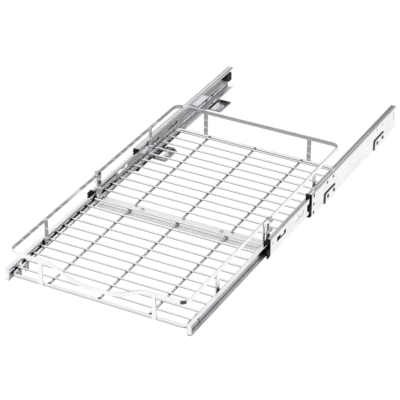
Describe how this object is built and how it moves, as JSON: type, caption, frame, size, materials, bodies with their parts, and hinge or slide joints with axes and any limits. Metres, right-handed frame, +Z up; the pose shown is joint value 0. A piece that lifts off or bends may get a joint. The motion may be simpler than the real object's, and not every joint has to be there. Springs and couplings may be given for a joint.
{
  "type": "pull out cabinet basket",
  "caption": "Chrome wire pull-out tray with a flat rail and finger dip, on full-extension ball-bearing side slides with floor brackets.",
  "frame": {"origin": "centre of the four floor screw holes, on the cabinet floor under the bracket feet", "axes": "+X to the right seen from the front, +Y back into the cabinet, +Z up; the basket is pulled out towards -Y"},
  "size_m": [0.3402, 0.7614, 0.0708],
  "materials": {
    "chrome_wire": "bright nickel-chrome plated drawn wire",
    "chrome_strip": "bright chrome plated flat strip",
    "chrome_plate": "chrome plated flat sheet",
    "zinc_steel": "bright zinc plated rolled sheet",
    "bracket_steel": "zinc plated pressed sheet",
    "cage_steel": "plain pressed strip, lightly greased",
    "ball_steel": "polished ball",
    "fasteners": "zinc plated",
    "dark_screws": "dark nickel plated",
    "black_plastic": "moulded, satin",
    "black_rubber": "moulded, matt"
  },
  "bodies": {
    "cabinet_side": {"outer_slide_left": "zinc_steel", "outer_slide_right": "zinc_steel", "front_bracket_left": "bracket_steel", "front_bracket_right": "bracket_steel", "rear_bracket_left": "bracket_steel", "rear_bracket_right": "bracket_steel", "bracket_rivets_left": "fasteners", "bracket_rivets_right": "fasteners", "outer_guide_left": "black_plastic", "outer_guide_right": "black_plastic", "rear_bumper_left": "black_rubber", "rear_bumper_right": "black_rubber"},
    "middle_left": {"middle_slide_left": "zinc_steel", "middle_guide_left": "black_plastic"},
    "middle_right": {"middle_slide_right": "zinc_steel", "middle_guide_right": "black_plastic"},
    "outer_cage_left": {"outer_ball_cage_left": "cage_steel", "outer_balls_left": "ball_steel"},
    "outer_cage_right": {"outer_ball_cage_right": "cage_steel", "outer_balls_right": "ball_steel"},
    "inner_cage_left": {"inner_ball_cage_left": "black_plastic", "inner_balls_left": "ball_steel"},
    "inner_cage_right": {"inner_ball_cage_right": "black_plastic", "inner_balls_right": "ball_steel"},
    "basket": {"inner_slide_left": "zinc_steel", "inner_slide_right": "zinc_steel", "slide_lugs": "chrome_strip", "slide_screws": "fasteners", "front_frame_wire": "chrome_wire", "rear_frame_wire": "chrome_wire", "front_cross_wires": "chrome_wire", "rear_cross_wires": "chrome_wire", "front_long_wires": "chrome_wire", "rear_long_wires": "chrome_wire", "front_end_wire": "chrome_wire", "front_rail": "chrome_strip", "rear_rail": "chrome_strip", "front_posts": "chrome_strip", "rear_posts": "chrome_strip", "front_joint_plate": "chrome_plate", "rear_joint_plate": "chrome_plate", "plate_screws": "fasteners", "plate_nuts": "fasteners", "joint_straps": "bracket_steel", "strap_screws": "dark_screws", "strap_nuts": "fasteners"}
  },
  "joints": [
    {"name": "basket_slide", "type": "slide", "parent": "cabinet_side", "child": "basket", "axis": [0, 1, 0], "range_m": [0, 0.4]},
    {"name": "middle_left_slide", "type": "slide", "parent": "cabinet_side", "child": "middle_left", "axis": [0, 1, 0], "range_m": [0, 0.15]},
    {"name": "middle_right_slide", "type": "slide", "parent": "cabinet_side", "child": "middle_right", "axis": [0, 1, 0], "range_m": [0, 0.15]},
    {"name": "outer_cage_left_slide", "type": "slide", "parent": "cabinet_side", "child": "outer_cage_left", "axis": [0, 1, 0], "range_m": [0, 0.075]},
    {"name": "outer_cage_right_slide", "type": "slide", "parent": "cabinet_side", "child": "outer_cage_right", "axis": [0, 1, 0], "range_m": [0, 0.075]},
    {"name": "inner_cage_left_slide", "type": "slide", "parent": "cabinet_side", "child": "inner_cage_left", "axis": [0, 1, 0], "range_m": [0, 0.275]},
    {"name": "inner_cage_right_slide", "type": "slide", "parent": "cabinet_side", "child": "inner_cage_right", "axis": [0, 1, 0], "range_m": [0, 0.275]}
  ],
  "couplings": [
    {"joint": "middle_left_slide", "follows": "basket_slide", "ratio": 0.375},
    {"joint": "middle_right_slide", "follows": "basket_slide", "ratio": 0.375},
    {"joint": "outer_cage_left_slide", "follows": "basket_slide", "ratio": 0.1875},
    {"joint": "outer_cage_right_slide", "follows": "basket_slide", "ratio": 0.1875},
    {"joint": "inner_cage_left_slide", "follows": "basket_slide", "ratio": 0.6875},
    {"joint": "inner_cage_right_slide", "follows": "basket_slide", "ratio": 0.6875}
  ]
}
